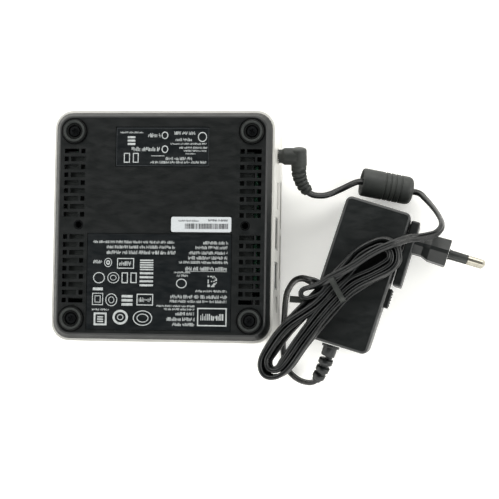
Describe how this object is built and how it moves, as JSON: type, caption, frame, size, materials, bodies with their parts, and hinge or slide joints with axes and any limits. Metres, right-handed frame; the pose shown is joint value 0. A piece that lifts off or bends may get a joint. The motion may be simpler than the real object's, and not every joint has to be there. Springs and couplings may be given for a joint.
{
  "type": "mini pc",
  "caption": "Small square mini PC lying on its lid, underside up, with feet, vent slots, rear connectors and a plug-in wall power supply on a hanked lead.",
  "frame": {"origin": "centre of the lid's outer face, on the table; the PC is stored as pictured, lying on its lid", "axes": "+Z out through the underside and its feet (so up in the stored pose, down in use), +X out through the rear connectors, +Y along the width"},
  "size_m": [0.2175, 0.1382, 0.054],
  "materials": {
    "gloss_black": "polished black",
    "silver": "fine satin, silver-white",
    "cover_black": "fine texture, satin",
    "rubber": "matt",
    "steel": "pressed sheet",
    "aluminium": "satin",
    "copper": "bare copper",
    "nickel": "nickel plate",
    "brass": "bright",
    "board_green": "glass-fibre laminate",
    "board_brown": "paper laminate",
    "black_plastic": "moulded",
    "dark_window": "dark red, see-through",
    "button": "satin",
    "label_dark": "printed film",
    "label_white": "printed film",
    "cord_black": "satin PVC",
    "plug_black": "moulded PVC",
    "supply_black": "fine texture",
    "tape_yellow": "ferrite core in tape",
    "capacitor": "sleeved can"
  },
  "bodies": {
    "chassis": {"lid": "gloss_black", "side_frame": "silver", "io_plate": "steel", "motherboard": "board_green", "dc_jack": "black_plastic", "video_port_wide": "steel", "video_port_small": "steel", "lan_port": "steel", "usb_port_stack": "steel", "front_usb_port_left": "steel", "front_usb_port_right": "steel", "audio_jack": "black_plastic", "infrared_window": "dark_window", "memory_socket": "black_plastic", "memory_module_lower": "board_green", "memory_module_upper": "board_green", "card_socket": "black_plastic", "wireless_card": "board_green", "coin_cell": "steel", "processor": "board_green", "heat_spreader": "copper", "heat_pipe": "copper", "fin_stack": "aluminium", "fan_housing": "black_plastic"},
    "fan_rotor": {"fan_rotor": "black_plastic"},
    "power_button": {"power_button": "button"},
    "bottom_cover": {"bottom_cover": "cover_black", "foot_front_left": "rubber", "foot_front_right": "rubber", "foot_rear_left": "rubber", "foot_rear_right": "rubber", "captive_screw_front_left": "steel", "captive_screw_front_right": "steel", "captive_screw_rear_left": "steel", "captive_screw_rear_right": "steel", "drive_bracket": "steel", "storage_drive": "aluminium", "drive_backplane": "board_green", "regulatory_label": "label_dark", "wireless_label": "label_dark", "barcode_label": "label_white"},
    "power_supply": {"dc_plug": "plug_black", "dc_plug_barrel": "nickel", "dc_plug_boot": "plug_black", "cord_plug_stretch": "cord_black", "ferrite_choke": "plug_black", "cord_middle_stretch": "cord_black", "cord_hank": "cord_black", "twist_tie": "cord_black", "cord_supply_stretch": "cord_black", "supply_boot": "plug_black", "supply_case_upper": "supply_black", "supply_case_lower": "supply_black", "supply_board": "board_brown", "transformer": "tape_yellow", "smoothing_capacitor": "capacitor"},
    "plug_head": {"plug_head": "supply_black", "pin_upper": "brass", "pin_lower": "brass"},
    "release_latch": {"release_latch": "supply_black"}
  },
  "joints": [
    {"name": "fan_spin", "type": "hinge", "parent": "chassis", "child": "fan_rotor", "pos_m": [0.006, -0.002, 0.01], "axis": [0, 0, 1], "continuous": true},
    {"name": "power_press", "type": "slide", "parent": "chassis", "child": "power_button", "axis": [0, 0, 1], "range_m": [0, 0.0006], "stiffness_N_per_m": 400},
    {"name": "cover_lift", "type": "slide", "parent": "chassis", "child": "bottom_cover", "axis": [0, 0, 1], "range_m": [0, 0.06]},
    {"name": "plug_pull", "type": "slide", "parent": "chassis", "child": "power_supply", "axis": [1, 0, 0], "range_m": [0, 0.013]},
    {"name": "head_pull", "type": "slide", "parent": "power_supply", "child": "plug_head", "axis": [0.9588, -0.284, 0], "range_m": [0, 0.012]},
    {"name": "latch_press", "type": "slide", "parent": "power_supply", "child": "release_latch", "axis": [-0.9588, 0.284, 0], "range_m": [0, 0.0012], "stiffness_N_per_m": 600}
  ]
}
